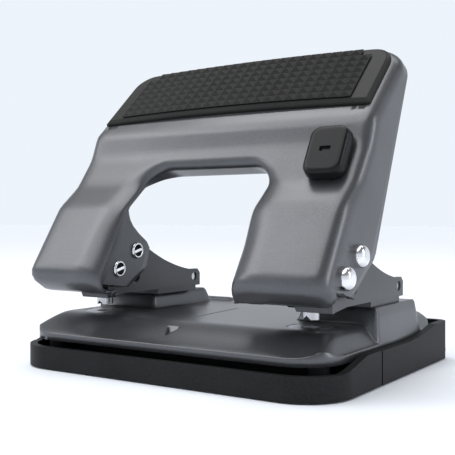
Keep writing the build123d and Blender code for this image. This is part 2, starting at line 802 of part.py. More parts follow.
with BuildPart() as chip_tray:
    add(rim_form(0, rim_low_z, rim_rear_z))
    add(rim_form(rim_wall, 0, 40), mode=Mode.SUBTRACT)
    with BuildSketch(Plane.YZ.offset(-half_width - 1)):
        with BuildLine():
            low = Line((split_y - 1, rim_side_z - 0.2), (punch_y + 24.0, rim_side_z - 0.2))
            ramp = ThreePointArc(
                low @ 1, (base_rear - 26.0, rim_side_z + 0.6), (base_rear - 14.0, rim_rear_z - 0.01)
            )
            Polyline(
                ramp @ 1,
                (base_rear - 14.0, rim_rear_z + 20),
                (split_y - 1, rim_rear_z + 20),
                low @ 0,
            )
        make_face()
    extrude(amount=2 * half_width + 2, mode=Mode.SUBTRACT)
    with BuildSketch(Plane.XY.offset(0)):
        with Locations((0, split_y + split_gap)):
            Rectangle(2 * half_width + 2, base_depth, align=(Align.CENTER, Align.MAX))
    extrude(amount=40, mode=Mode.SUBTRACT)
    with BuildSketch(Plane.XY.offset(bin_z)):
        with Locations((0, base_rear - 1.0)):
            Rectangle(2 * bin_x, base_depth - 20.0, align=(Align.CENTER, Align.MAX))
            Rectangle(2 * (half_width - 1.0), 17.0, align=(Align.CENTER, Align.MAX))
    extrude(amount=bin_wall)
    with BuildSketch(Plane.XY.offset(bin_z)):
        with Locations((0, base_rear - 1.0)):
            Rectangle(2 * bin_x, base_depth - 20.0, align=(Align.CENTER, Align.MAX))
            Rectangle(2 * (bin_x - bin_wall), base_depth - 20.0 - bin_wall, align=(Align.CENTER, Align.MAX),
                      mode=Mode.SUBTRACT)
    extrude(amount=bin_height)
chip_tray.part.label = "chip_tray"
export_step(chip_tray.part, "parts/chip_tray.step")
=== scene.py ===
"""Looks of the two-hole paper punch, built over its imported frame. Lengths are in metres."""

import json
from bisect import bisect_right
from math import ceil, cos, degrees, pi, radians, sin, sqrt, tan

import bmesh
import bpy
from mathutils import Matrix, Vector
from mathutils.geometry import delaunay_2d_cdt

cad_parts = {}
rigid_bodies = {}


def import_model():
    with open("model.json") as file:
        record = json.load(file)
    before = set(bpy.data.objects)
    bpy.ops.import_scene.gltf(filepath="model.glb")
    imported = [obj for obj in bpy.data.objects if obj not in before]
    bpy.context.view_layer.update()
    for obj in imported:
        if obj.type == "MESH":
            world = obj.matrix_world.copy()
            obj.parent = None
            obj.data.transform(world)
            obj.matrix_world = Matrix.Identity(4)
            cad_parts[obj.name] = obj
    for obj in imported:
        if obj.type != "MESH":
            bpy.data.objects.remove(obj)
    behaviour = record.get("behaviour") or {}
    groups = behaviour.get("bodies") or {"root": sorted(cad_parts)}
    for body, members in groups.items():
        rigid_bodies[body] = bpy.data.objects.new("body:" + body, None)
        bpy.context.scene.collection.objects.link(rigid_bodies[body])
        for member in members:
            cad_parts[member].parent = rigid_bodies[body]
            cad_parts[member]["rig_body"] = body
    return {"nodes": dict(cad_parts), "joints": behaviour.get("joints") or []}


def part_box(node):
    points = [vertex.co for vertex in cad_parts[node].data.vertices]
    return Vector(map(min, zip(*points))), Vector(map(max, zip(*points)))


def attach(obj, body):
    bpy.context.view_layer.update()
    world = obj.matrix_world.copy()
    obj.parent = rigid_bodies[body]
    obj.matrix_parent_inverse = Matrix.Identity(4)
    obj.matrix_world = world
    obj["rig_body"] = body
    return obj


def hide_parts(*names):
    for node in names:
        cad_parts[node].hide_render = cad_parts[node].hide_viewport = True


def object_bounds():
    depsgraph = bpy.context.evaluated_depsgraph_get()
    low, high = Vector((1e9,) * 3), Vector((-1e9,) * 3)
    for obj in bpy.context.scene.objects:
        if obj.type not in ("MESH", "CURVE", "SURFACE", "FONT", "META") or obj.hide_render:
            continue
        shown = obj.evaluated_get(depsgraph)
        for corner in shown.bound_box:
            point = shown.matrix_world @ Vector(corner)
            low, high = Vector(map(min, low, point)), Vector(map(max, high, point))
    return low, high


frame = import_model()
cad_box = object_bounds()
for plain in list(bpy.data.materials):
    bpy.data.materials.remove(plain)
mm = 0.001
SIDES = {"right": 1, "left": -1}


# ---------------------------------------------------------------- finishes
class Wire:
    """A shader output. An expression on wires adds its Math nodes to their tree."""

    def __init__(self, socket):
        self.socket = socket
        self.tree = socket.id_data

    def maths(self, operation, first, second):
        return add_node(self.tree, "ShaderNodeMath", {"operation": operation}, {0: first, 1: second})

    def __add__(self, other):
        return self.maths("ADD", self, other)

    def __mul__(self, other):
        return self.maths("MULTIPLY", self, other)

    def __sub__(self, other):
        return self.maths("SUBTRACT", self, other)

    def __rsub__(self, other):
        return self.maths("SUBTRACT", other, self)

    def __pow__(self, other):
        return self.maths("POWER", self, other)

    __radd__ = __add__
    __rmul__ = __mul__


def add_node(tree, kind, settings=(), values=(), output=0):
    """Any node: its settings first, then the values or wires of its sockets."""
    node = tree.nodes.new(kind)
    for name, value in dict(settings).items():
        if name == "stops":
            ramp = node.color_ramp
            while len(ramp.elements) < len(value):
                ramp.elements.new(0.5)
            for element, (place, colour) in zip(ramp.elements, value):
                element.position = place
                element.color = (*colour, 1)
        else:
            setattr(node, name, value)
    for name, value in dict(values).items():
        if isinstance(value, Wire):
            tree.links.new(value.socket, node.inputs[name])
        else:
            node.inputs[name].default_value = value
    return Wire(node.outputs[output])


def noise(tree, place, scale, detail=2.0):
    values = {"Vector": place, "Scale": scale, "Detail": detail}
    return add_node(tree, "ShaderNodeTexNoise", values=values)


def stretched(tree, place, scale):
    """The place with each axis scaled, for a grain that runs one way."""
    return add_node(tree, "ShaderNodeMapping", values={"Vector": place, "Scale": scale})


def finish(
    name, dark, light, rough, rough_swing, grain_scale, relief, cloud_scale=45.0, grain=(1, 1, 1), **fixed
):
    """A material whose colour, gloss and relief come from a fine grain and a broad cloud."""
    material = bpy.data.materials.new(name)
    material.use_nodes = True
    tree = material.node_tree
    tree.nodes.clear()
    place = add_node(tree, "ShaderNodeTexCoord", output="Object")
    fine = noise(tree, stretched(tree, place, grain), grain_scale)
    cloud = noise(tree, place, cloud_scale, 4.0)
    tone = fine * 0.55 + cloud * 0.45
    colour = add_node(tree, "ShaderNodeValToRGB", {"stops": [(0.3, dark), (0.7, light)]}, {"Fac": tone})
    bump_values = {"Height": fine, "Strength": 1.0, "Distance": relief}
    values = {
        "Base Color": colour,
        "Roughness": (tone - 0.5) * rough_swing + rough,
        "Normal": add_node(tree, "ShaderNodeBump", values=bump_values),
    }
    shader = add_node(tree, "ShaderNodeBsdfPrincipled", values={**fixed, **values})
    closing = tree.nodes.new("ShaderNodeOutputMaterial")
    tree.links.new(shader.socket, closing.inputs["Surface"])
    return material


satin_grey = finish(
    "satin_grey_paint", (0.07, 0.072, 0.078), (0.112, 0.115, 0.123), 0.36, 0.12, 2600, 0.006 * mm,
    Metallic=0.7, **{"Coat Weight": 0.2, "Coat Roughness": 0.2},
)
bracket_grey = finish(
    "bracket_paint", (0.05, 0.051, 0.054), (0.08, 0.082, 0.087), 0.38, 0.15, 2400, 0.006 * mm, Metallic=0.6,
)
tray_plastic = finish(
    "tray_plastic", (0.008, 0.0084, 0.009), (0.02, 0.0206, 0.022), 0.5, 0.1, 1500, 0.035 * mm, IOR=1.2,
)
grip_rubber = finish(
    "grip_rubber", (0.013, 0.013, 0.012), (0.026, 0.026, 0.025), 0.42, 0.25, 2400, 0.02 * mm, IOR=1.2,
)
lock_black = finish(
    "lock_plastic", (0.006, 0.006, 0.007), (0.012, 0.012, 0.013), 0.24, 0.1, 2600, 0.004 * mm, IOR=1.25,
)
guide_black = finish(
    "guide_plastic", (0.012, 0.012, 0.012), (0.022, 0.022, 0.022), 0.42, 0.15, 2000, 0.01 * mm,
)
foot_rubber = finish("foot_rubber", (0.02, 0.02, 0.02), (0.035, 0.035, 0.035), 0.75, 0.2, 1800, 0.03 * mm)
bright_chrome = finish(
    "bright_chrome", (0.72, 0.72, 0.74), (0.86, 0.86, 0.87), 0.14, 0.1, 1400, 0.002 * mm,
    grain=(0.08, 1, 1), Metallic=1.0,
)
hard_steel = finish(
    "hard_steel", (0.4, 0.4, 0.42), (0.58, 0.58, 0.6), 0.26, 0.15, 1800, 0.004 * mm,
    grain=(1, 1, 0.05), Metallic=1.0,
)
die_steel = finish(
    "die_steel", (0.33, 0.33, 0.35), (0.48, 0.48, 0.5), 0.32, 0.15, 1800, 0.004 * mm, Metallic=1.0,
)
spring_steel = finish(
    "spring_steel", (0.3, 0.3, 0.31), (0.46, 0.46, 0.47), 0.3, 0.15, 1500, 0.003 * mm, Metallic=1.0,
)

NODE_FINISH = {
    "base_plate": satin_grey, "handle_shell": satin_grey,
    "tray_body": tray_plastic, "chip_tray": tray_plastic,
    "rubber_feet": foot_rubber, "grip_pad": grip_rubber,
    "lock_button": lock_black, "punch_guide": guide_black, "bracket": bracket_grey,
    "pivot_sleeve": bright_chrome, "pivot_barrel": bright_chrome, "pusher_barrel": bright_chrome,
    "pivot_screw": bright_chrome, "pusher_screw": bright_chrome,
    "tray_screws": hard_steel, "lock_slider": hard_steel, "tail_pin": hard_steel,
    "bracket_rivets": hard_steel, "pusher_roller": hard_steel, "punch_pin": hard_steel,
    "punch_cap": hard_steel, "die_ring": die_steel, "return_spring": spring_steel,
}


def base_name(node):
    return node.removesuffix("_right").removesuffix("_left")


for node_name, node_object in frame["nodes"].items():
    node_object.data.materials.clear()
    node_object.data.materials.append(NODE_FINISH[base_name(node_name)])


# ------------------------------------------------------------ mesh helpers
def new_piece(name, points, faces, material, smooth=True):
    mesh = bpy.data.meshes.new(name)
    mesh.from_pydata([Vector(p) * mm for p in points], [], faces)
    mesh.materials.append(material)
    piece = bpy.data.objects.new(name, mesh)
    bpy.context.scene.collection.objects.link(piece)
    for face in mesh.polygons:
        face.use_smooth = smooth
    return piece


def tidy_mesh(piece, merge=0.002, recalc=True):
    form = bmesh.new()
    form.from_mesh(piece.data)
    bmesh.ops.remove_doubles(form, verts=form.verts, dist=merge * mm)
    bmesh.ops.dissolve_degenerate(form, edges=form.edges, dist=merge * mm)
    if recalc:
        bmesh.ops.recalc_face_normals(form, faces=form.faces)
    form.to_mesh(piece.data)
    form.free()


def bake(piece):
    """The piece as a plain mesh with its modifiers worked in."""
    bpy.context.view_layer.update()
    evaluated = piece.evaluated_get(bpy.context.evaluated_depsgraph_get())
    mesh = bpy.data.meshes.new_from_object(evaluated)
    piece.modifiers.clear()
    piece.data = mesh
    return piece


def modify(piece, kind, **settings):
    modifier = piece.modifiers.new(kind.title(), kind)
    for name, value in settings.items():
        setattr(modifier, name, value)
    return modifier


def settle(piece, node):
    """The piece stands for a CAD node and rides on that node's body."""
    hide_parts(node)
    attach(piece, frame["nodes"][node]["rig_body"])
    return piece


def softened(node, width, segments=3, angle=35):
    """A copy of a CAD node with its sharp edges rounded."""
    source = frame["nodes"][node]
    mesh = source.data.copy()
    piece = bpy.data.objects.new(f"{node}_form", mesh)
    bpy.context.scene.collection.objects.link(piece)
    form = bmesh.new()
    form.from_mesh(mesh)
    bmesh.ops.remove_doubles(form, verts=form.verts, dist=0.001 * mm)
    flat = radians(1.0)
    bmesh.ops.dissolve_limit(form, angle_limit=flat, verts=form.verts, edges=form.edges)
    form.to_mesh(mesh)
    form.free()
    for face in mesh.polygons:
        face.use_smooth = True
    modify(
        piece, "BEVEL", width=width * mm, segments=segments, limit_method="ANGLE", angle_limit=radians(angle),
        miter_outer="MITER_ARC", harden_normals=False,
    )
    modify(piece, "WEIGHTED_NORMAL", keep_sharp=False, weight=60)
    bake(piece)
    return settle(piece, node)


# ------------------------------------------------------------------ handle
pivot = Vector(next(j for j in frame["joints"] if j["name"] == "handle_hinge")["pos_m"]) / mm
unit_x = 40.0
leg_width = 30.6
half_handle = unit_x + leg_width / 2
inner_leg = unit_x - leg_width / 2
shell_wall = 1.2
grip_slope = radians(43.2)
grip_length = 33.6
grip_bow = 2.0
grip_low = (23.8, 49.3)
grip_high = (grip_low[0] + grip_length * cos(grip_slope), grip_low[1] + grip_length * sin(grip_slope))
rear_edge = [
    (grip_high[0] + 2.9, grip_high[1] - 1.5), (21.2, 4.8), (4.5, -6.4), (0.0, -7.7), (-5.2, -8.0),
]
opening_rear = [
    (25.4, 60.0), (25.4, 31.2), (20.0, 29.6), (17.2, 28.4), (12.9, 26.6), (9.2, 24.8), (6.6, 22.7),
    (5.3, 20.8), (4.9, 18.8), (5.6, 16.2), (7.7, 13.3), (10.3, 11.3), (12.9, 9.9), (15.2, 7.8),
    (16.0, 6.0), (14.0, -0.5), (4.5, -6.4),
]
back_angle = radians(15)
back_way = (cos(back_angle), -sin(back_angle))
path_past = 6.0  # of the front path, beyond the grip's top
path_end = (grip_high[0] + path_past * cos(grip_slope), grip_high[1] + path_past * sin(grip_slope))
panel_rise = 8.0  # above the pivot, where the legs' straight front begins
loop_reach, loop_rise = 14.0, 34.2  # a point on the finger opening's top
run_step = 0.05
outer_roll = 4.2
outer_corner = 11.0
opening_corner = 9.0
leg_roll_width, loop_roll_width = 8.5, 3.0
leg_roll_depth, loop_roll_depth = 4.6, 2.6
wall_steps = 8
corner_steps = 12
recess_depth = 1.0
pad_side_inset, pad_low_inset, pad_high_run, pad_corner = 3.2, 1.4, 30.6, 7.8


def rounded_path(corners, radii, step=4.0):
    """Points along a chain of straights whose inner corners are arcs."""
    path = [Vector(corners[0])]
    for before, corner, after, radius in zip(corners, corners[1:], corners[2:], radii):
        before, corner, after = Vector(before), Vector(corner), Vector(after)
        way_in = (corner - before).normalized()
        way_out = (after - corner).normalized()
        turn = way_in.angle_signed(way_out)
        reach = radius * abs(tan(turn / 2))
        start, end = corner - way_in * reach, corner + way_out * reach
        pieces = max(2, ceil(abs(degrees(turn)) / step))
        for k in range(pieces + 1):
            t = k / pieces
            path.append(start.lerp(corner, t).lerp(corner.lerp(end, t), t))
    path.append(Vector(corners[-1]))
    return path


front_path = rounded_path(
    [(-4.0, -7.9), (-5.2, -8.0), (-11.1, -4.1), (-12.0, -0.8), (1.6, 20.5), (10.3, 27.7), (17.6, 37.9),
     (20.6, 46.3), grip_low, grip_high, path_end],
    [0.5, 3.5, 4.4, 9.0, 9.0, 14.0, 3.0, 3.0, 0.1],
)
path_run = [0.0]
for one, two in zip(front_path, front_path[1:]):
    path_run.append(path_run[-1] + (two - one).length)
grip_run = path_run[-1] - path_past - grip_length
top_run = path_run[-1] - path_past


def on_path(run):
    run = min(max(run, 0.0), path_run[-1] - 1e-6)
    k = min(bisect_right(path_run, run) - 1, len(front_path) - 2)
    share = (run - path_run[k]) / max(path_run[k + 1] - path_run[k], 1e-9)
    return front_path[k].lerp(front_path[k + 1], share)


def past_loop(run):
    """True where the front has passed the line of the finger opening's top."""
    spot = on_path(run)
    return spot[1] - loop_rise + tan(back_angle) * (spot[0] - loop_reach) > 0


panel_run = next(r for r, p in zip(path_run, front_path) if p[1] > panel_rise)
loop_run = next(k * run_step for k in range(4000) if past_loop(k * run_step))


def way_in(run, spread):
    """The direction from the front surface into the shell, averaged over a stretch."""
    if spread > 5:
        run = max(run, panel_run)
    total = Vector((0.0, 0.0))
    for k in range(-3, 4):
        here = run + spread * k / 3
        along = (on_path(here + 0.4) - on_path(here - 0.4)).normalized()
        total += Vector((along[1], -along[0]))
    return total.normalized()


def low_line(reach):
    """The trimmed lower edge of the legs."""
    corners = rear_edge[::-1][:-1]
    if reach <= corners[0][0]:
        return corners[0][1]
    for (y0, z0), (y1, z1) in zip(corners, corners[1:]):
        if reach <= y1:
            return z0 + (z1 - z0) * (reach - y0) / (y1 - y0)
    return corners[-1][1]


def on_shell(x, run, depth, deep=False):
    """A point of the handle: across, along the front and into the shell."""
    spot = on_path(run) + way_in(run, 12.0 if deep else 3.5) * depth
    if deep:
        spot[1] = max(spot[1], low_line(spot[0]))
    return (x, pivot[1] + spot[0], pivot[2] + spot[1])


def bow(x):
    return grip_bow * (1 - (x / half_handle) ** 2)


def ease(low, high, value):
    t = min(max((value - low) / (high - low), 0.0), 1.0)
    return t * t * (3 - 2 * t)


def outer_boundary(inset):
    """Half of the outer edge, from the right leg's foot to the middle of the top."""
    radius = outer_corner - inset
    half = half_handle - inset
    top = top_run - inset
    edge = [(half, k * (top - radius) / 40) for k in range(41)]
    for k in range(1, corner_steps + 1):
        a = pi / 2 * k / corner_steps
        x = half - radius + radius * cos(a)
        edge.append((x, top - radius + radius * sin(a) + bow(x) * a / (pi / 2)))
    for k in range(1, 25):
        x = (half - radius) * (1 - k / 24)
        edge.append((x, top + bow(x)))
    return edge


def opening_boundary():
    """Half of the finger opening's edge, each point with its way into the sheet."""
    radius = opening_corner
    edge = []
    for k in range(31):
        edge.append(((inner_leg, k * (loop_run - radius) / 30), (1.0, 0.0)))
    for k in range(1, corner_steps + 1):
        a = pi / 2 * k / corner_steps
        spot = (inner_leg - radius + radius * cos(a), loop_run - radius + radius * sin(a))
        edge.append((spot, (cos(a), sin(a))))
    for k in range(1, corner_steps + 1):
        edge.append((((inner_leg - radius) * (1 - k / corner_steps), loop_run), (0.0, 1.0)))
    return edge


def mirrored_edge(half_edge):
    return half_edge + [(-x, y) for x, y in half_edge[-2::-1]]


def build_shell():
    points, faces = [], []

    def put(x, run, depth, deep=False):
        points.append(on_shell(x, run, depth, deep))
        return len(points) - 1

    def strip(one, two, turn=False):
        for a, b, c, d in zip(one, one[1:], two[1:], two):
            faces.append((a, b, c, d) if turn else (d, c, b, a))

    turns = [pi / 2 * k / 6 for k in range(7)]
    # outer roll, from the flat front to the side wall
    outer_rings = []
    for a in turns:
        ring = mirrored_edge(outer_boundary(outer_roll * (1 - sin(a))))
        outer_rings.append((ring, [put(x, run, outer_roll * (1 - cos(a))) for x, run in ring]))
    for (_, one), (_, two) in zip(outer_rings, outer_rings[1:]):
        strip(one, two, True)
    # opening roll
    opening = opening_boundary()
    opening_rings = []
    for a in turns:
        half_ring, half_depth = [], []
        for (x, run), (nx, nr) in opening:
            narrow = ease(loop_run - 14, loop_run + 1, run)
            shallow = ease(loop_run - 33, loop_run - 20, run)
            wide = leg_roll_width + (loop_roll_width - leg_roll_width) * narrow
            deep = leg_roll_depth + (loop_roll_depth - leg_roll_depth) * shallow
            shift = wide * (1 - sin(a))
            half_ring.append((x + nx * shift, run + nr * shift))
            half_depth.append(deep * (1 - cos(a)))
        ring = mirrored_edge(half_ring)
        depths = half_depth + half_depth[-2::-1]
        ids = [put(x, run, depth, True) for (x, run), depth in zip(ring, depths)]
        opening_rings.append((ring, ids))
    for (_, one), (_, two) in zip(opening_rings, opening_rings[1:]):
        strip(one, two)
    # walls back to the rear edge
    for rings, turn, edge, least in (
        (outer_rings, True, rear_edge[:3], 1.3), (opening_rings, False, opening_rear, 0.3)
    ):
        ids = rings[-1][1]
        last = ids
        hits = [rear_point(points[i], edge, least) for i in ids]
        for k in range(1, wall_steps + 1):
            row = []
            for i, hit in zip(ids, hits):
                points.append(tuple(a + (b - a) * k / wall_steps for a, b in zip(points[i], hit)))
                row.append(len(points) - 1)
            strip(last, row, turn)
            last = row
    # flat front between the two rolls, with the pad's recess
    flat = [Vector(p) for p in outer_rings[0][0]]
    inner = [Vector(p) for p in opening_rings[0][0]][::-1]
    border = flat + inner
    flat_ids = outer_rings[0][1] + opening_rings[0][1][::-1]
    loops = [list(range(len(border)))]
    spots = border[:]
    for reach in (0.55, 0.4):
        ring = pad_outline(reach)
        loops.append(list(range(len(spots), len(spots) + len(ring))))
        spots += ring
    for i in range(-26, 27):
        for j in range(60):
            spot = Vector((i * 2.1, j * 2.0 + 0.8))
            if inside(spot, border, 1.0) and not near(spot, loops[1:], spots, 0.5):
                spots.append(spot)
    edges = [(loop[k], loop[(k + 1) % len(loop)]) for loop in loops for k in range(len(loop))]
    made = delaunay_2d_cdt(spots, edges, [], 0, 0.001, True)
    recess = [spots[i] for i in loops[2]]
    ids = []
    for spot, origins in zip(made[0], made[3]):
        known = [o for o in origins if o < len(border)]
        if known:
            ids.append(flat_ids[known[0]])
        else:
            sunk = recess_depth if inside(spot, recess, -0.02) else 0.0
            ids.append(put(spot[0], spot[1], sunk))
    for face in made[2]:
        middle = sum((made[0][v] for v in face), Vector((0, 0))) / len(face)
        if inside(middle, border, 0.0):
            faces.append(tuple(ids[v] for v in face))
    return points, faces


def rear_point(spot, edge, least):
    """Where a line back from the spot meets the shell's rear edge."""
    start = Vector((spot[1] - pivot[1], spot[2] - pivot[2]))
    way = Vector(back_way)
    hits = []
    for one, two in zip(edge, edge[1:]):
        one, span = Vector(one), Vector(two) - Vector(one)
        turn = way.cross(span)
        if abs(turn) > 1e-9:
            along = (one - start).cross(span) / turn
            share = (one - start).cross(way) / turn
            if -0.001 <= share <= 1.001 and along > 0:
                hits.append(along)
    reach = max(min(hits, default=least), least)
    end = start + way * reach
    if start[1] < 0:
        end[1] = max(end[1], low_line(end[0]))
    return (spot[0], pivot[1] + end[0], pivot[2] + end[1])


def pad_outline(reach, steps=40, arc_steps=8):
    """The pad's outline in the sheet, grown by a reach."""
    half = half_handle - pad_side_inset + reach
    low, high = grip_run + pad_low_inset - reach, grip_run + pad_high_run + reach
    radius = pad_corner + reach
    end_bow = bow(half - radius)
    ring = []
    for k in range(steps + 1):
        x = -half + 2 * half * k / steps
        ring.append(Vector((x, low + bow(x))))
    for k in range(arc_steps + 1):
        a = pi / 2 * k / arc_steps
        run = high - radius + radius * sin(a) + end_bow * k / arc_steps
        ring.append(Vector((half - radius + radius * cos(a), run)))
    for k in range(1, steps):
        x = (half - radius) * (1 - 2 * k / steps)
        ring.append(Vector((x, high + bow(x))))
    for k in range(arc_steps + 1):
        a = pi / 2 * k / arc_steps
        run = high - radius + radius * cos(a) + end_bow * (1 - k / arc_steps)
        ring.append(Vector((-half + radius - radius * sin(a), run)))
    return ring


def inside(spot, ring, margin):
    """True if the spot is inside the ring, and further from its edge than the margin."""
    hit = False
    nearest = 1e9
    for one, two in zip(ring, ring[1:] + ring[:1]):
        if (one[1] > spot[1]) != (two[1] > spot[1]):
            if spot[0] < (two[0] - one[0]) * (spot[1] - one[1]) / (two[1] - one[1]) + one[0]:
                hit = not hit
        if margin:
            span = two - one
            share = min(max((spot - one).dot(span) / max(span.length_squared, 1e-12), 0), 1)
            nearest = min(nearest, (spot - one - span * share).length)
    if margin > 0:
        return hit and nearest > margin
    if margin < 0:
        return hit or nearest < -margin
    return hit


def near(spot, loops, spots, reach):
    return any((spots[i] - spot).length < reach for loop in loops for i in loop)


shell_points, shell_faces = build_shell()
shell = new_piece("handle_shell_form", shell_points, shell_faces, satin_grey)
tidy_mesh(shell, 0.01)
modify(shell, "SOLIDIFY", thickness=shell_wall * mm, offset=-1.0, use_even_offset=False)
bake(shell)
settle(shell, "handle_shell")


# --------------------------------------------------------------- grip pad
def grip_point(x, up, lift):
    """A point over the grip: across, up the slope, and out of it."""
    y = pivot[1] + grip_low[0] + up * cos(grip_slope) - lift * sin(grip_slope)
    z = pivot[2] + grip_low[1] + up * sin(grip_slope) + lift * cos(grip_slope)
    return (x, y, z)


def build_pad():
    points, faces, rings = [], [], []
    for reach, lift in ((0.0, -1.0), (0.0, 0.5), (-0.25, 0.9), (-1.3, 1.55), (-1.6, 1.6)):
        ring = [grip_point(p[0], p[1] - grip_run, lift) for p in pad_outline(reach)]
        rings.append(list(range(len(points), len(points) + len(ring))))
        points += ring
    for one, two in zip(rings, rings[1:]):
        for k in range(len(one)):
            n = (k + 1) % len(one)
            faces.append((one[k], one[n], two[n], two[k]))
    faces.append(tuple(rings[-1]))
    faces.append(tuple(rings[0][::-1]))
    return points, faces


pad = new_piece("grip_pad_body", *build_pad(), grip_rubber, smooth=False)
tidy_mesh(pad, 0.002)


def stud_tree():
    """Rows of small pyramids that follow the pad's bowed edges."""
    tree = bpy.data.node_groups.new("studs", "GeometryNodeTree")
    for name, value in (
        ("Width", 0.1), ("Height", 0.03), ("Columns", 25), ("Rows", 9), ("Stud Width", 0.004),
        ("Stud Depth", 0.0034), ("Stud Rise", 0.0009), ("Bow", 0.002), ("Half Bow", 0.055), ("Corner", 0.006),
    ):
        kind = "NodeSocketInt" if isinstance(value, int) else "NodeSocketFloat"
        item = tree.interface.new_socket(name, in_out="INPUT", socket_type=kind)
        item.default_value = value
    tree.interface.new_socket("Finish", in_out="INPUT", socket_type="NodeSocketMaterial")
    tree.interface.new_socket("Studs", in_out="OUTPUT", socket_type="NodeSocketGeometry")
    given = tree.nodes.new("NodeGroupInput")
    closing = tree.nodes.new("NodeGroupOutput")
    sizes = {s.name: Wire(s) for s in given.outputs if s.name}

    grid = add_node(tree, "GeometryNodeMeshGrid", values={
        "Size X": sizes["Width"], "Size Y": sizes["Height"],
        "Vertices X": sizes["Columns"], "Vertices Y": sizes["Rows"],
    })
    place = add_node(tree, "GeometryNodeInputPosition")
    across = add_node(tree, "ShaderNodeSeparateXYZ", values={"Vector": place}, output="X")
    up = add_node(tree, "ShaderNodeSeparateXYZ", values={"Vector": place}, output="Y")
    size_across = across.maths("ABSOLUTE", across, 0.0)
    share = across.maths("DIVIDE", across, sizes["Half Bow"])
    rise = sizes["Bow"] * (1 - share * share)
    shift = add_node(tree, "ShaderNodeCombineXYZ", values={"Y": rise})
    past_x = size_across - (sizes["Width"] * 0.5 - sizes["Corner"])
    past_y = up - (sizes["Height"] * 0.5 - sizes["Corner"])
    past_x = across.maths("MAXIMUM", past_x, 0.0)
    past_y = across.maths("MAXIMUM", past_y, 0.0)
    past = (past_x * past_x + past_y * past_y) ** 0.5
    outside = across.maths("GREATER_THAN", past, sizes["Corner"])
    kept = add_node(
        tree, "GeometryNodeDeleteGeometry", {"domain": "POINT"}, {"Geometry": grid, "Selection": outside},
    )
    bowed = add_node(tree, "GeometryNodeSetPosition", values={"Geometry": kept, "Offset": shift})
    stud = add_node(tree, "GeometryNodeMeshCone", {"fill_type": "NONE"}, {
        "Vertices": 4, "Radius Top": 0.0, "Radius Bottom": sqrt(0.5), "Depth": 1.0,
    })
    square = add_node(tree, "GeometryNodeTransform", values={"Geometry": stud, "Rotation": (0, 0, pi / 4)})
    scale = add_node(tree, "ShaderNodeCombineXYZ", values={
        "X": sizes["Stud Width"], "Y": sizes["Stud Depth"], "Z": sizes["Stud Rise"],
    })
    rows = add_node(tree, "GeometryNodeInstanceOnPoints", values={
        "Points": bowed, "Instance": square, "Scale": scale,
    })
    solid = add_node(tree, "GeometryNodeRealizeInstances", values={"Geometry": rows})
    painted = add_node(tree, "GeometryNodeSetMaterial", values={
        "Geometry": solid, "Material": sizes["Finish"],
    })
    tree.links.new(painted.socket, closing.inputs["Studs"])
    return tree


def grown(name, tree, inputs, material):
    """A plain mesh made by a Geometry Nodes tree with the given inputs."""
    piece = bpy.data.objects.new(name, bpy.data.meshes.new(name))
    bpy.context.scene.collection.objects.link(piece)
    modifier = piece.modifiers.new("Grow", "NODES")
    modifier.node_group = tree
    for item in tree.interface.items_tree:
        if item.in_out == "INPUT" and item.name in inputs:
            modifier[item.identifier] = inputs[item.name]
    bake(piece)
    if not piece.data.materials:
        piece.data.materials.append(material)
    return piece


stud_wide, stud_long = 3.95, 3.25
columns, rows = 25, 8
stud_rise, stud_corner = 1.0, 7.0
stud_up, stud_lift = 16.0, 1.58 + 0.475
studs = grown("grip_studs", stud_tree(), {
    "Width": (columns - 1) * stud_wide * mm, "Height": (rows - 1) * stud_long * mm,
    "Columns": columns, "Rows": rows, "Stud Width": stud_wide * mm, "Stud Depth": stud_long * mm,
    "Stud Rise": stud_rise * mm, "Bow": grip_bow * mm, "Half Bow": half_handle * mm,
    "Corner": stud_corner * mm, "Finish": grip_rubber,
}, grip_rubber)
slope_cos, slope_sin = cos(grip_slope), sin(grip_slope)
grip_frame = Matrix(((1, 0, 0), (0, slope_cos, -slope_sin), (0, slope_sin, slope_cos))).to_4x4()
stud_middle = Vector(grip_point(0, stud_up, stud_lift)) * mm
studs.data.transform(Matrix.Translation(stud_middle) @ grip_frame)
for polygon in studs.data.polygons:
    polygon.use_smooth = False
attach(studs, "handle")
settle(pad, "grip_pad")


# -------------------------------------------------------------- base plate
def smoothed_least(values, soft=0.35):
    """The least of the values, with the corner between them rounded."""
    least = values[0]
    for value in values[1:]:
        h = max(soft - abs(least - value), 0.0) / soft
        least = min(least, value) - h * h * soft / 4
    return least


plate_low, plate_high = (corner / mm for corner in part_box("base_plate"))
plate_x = plate_high[0]
table_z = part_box("die_ring_right")[1][2] / mm
die_boxes = [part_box(f"die_ring_{side}") for side in SIDES]
die_places = [((low + high) / 2 / mm).to_2d() for low, high in die_boxes]
die_radius = (die_boxes[0][1][0] - die_boxes[0][0][0]) / 2 / mm + 0.05
skirt_corner, skirt_top = 13.0, 11.6
skirt_drops = (0.5, 2.4)
side_slope, front_slope, rear_slope = 5.4, 15.5, 8.0
rib_rise, rib_front, rib_rear, rib_inner = 1.2, 27.5, 34.5, 20
arrow_tip, arrow_end, arrow_spread, arrow_sink = -39.0, -34.5, 0.55, 1.5
line_front, line_rear, line_half, line_sink = -19.5, 8.5, 0.45, 0.35
grid_step = 1.3
block_x, block_front, block_rear, block_top = 28.0, -9.2, 26.0, plate_high[2]


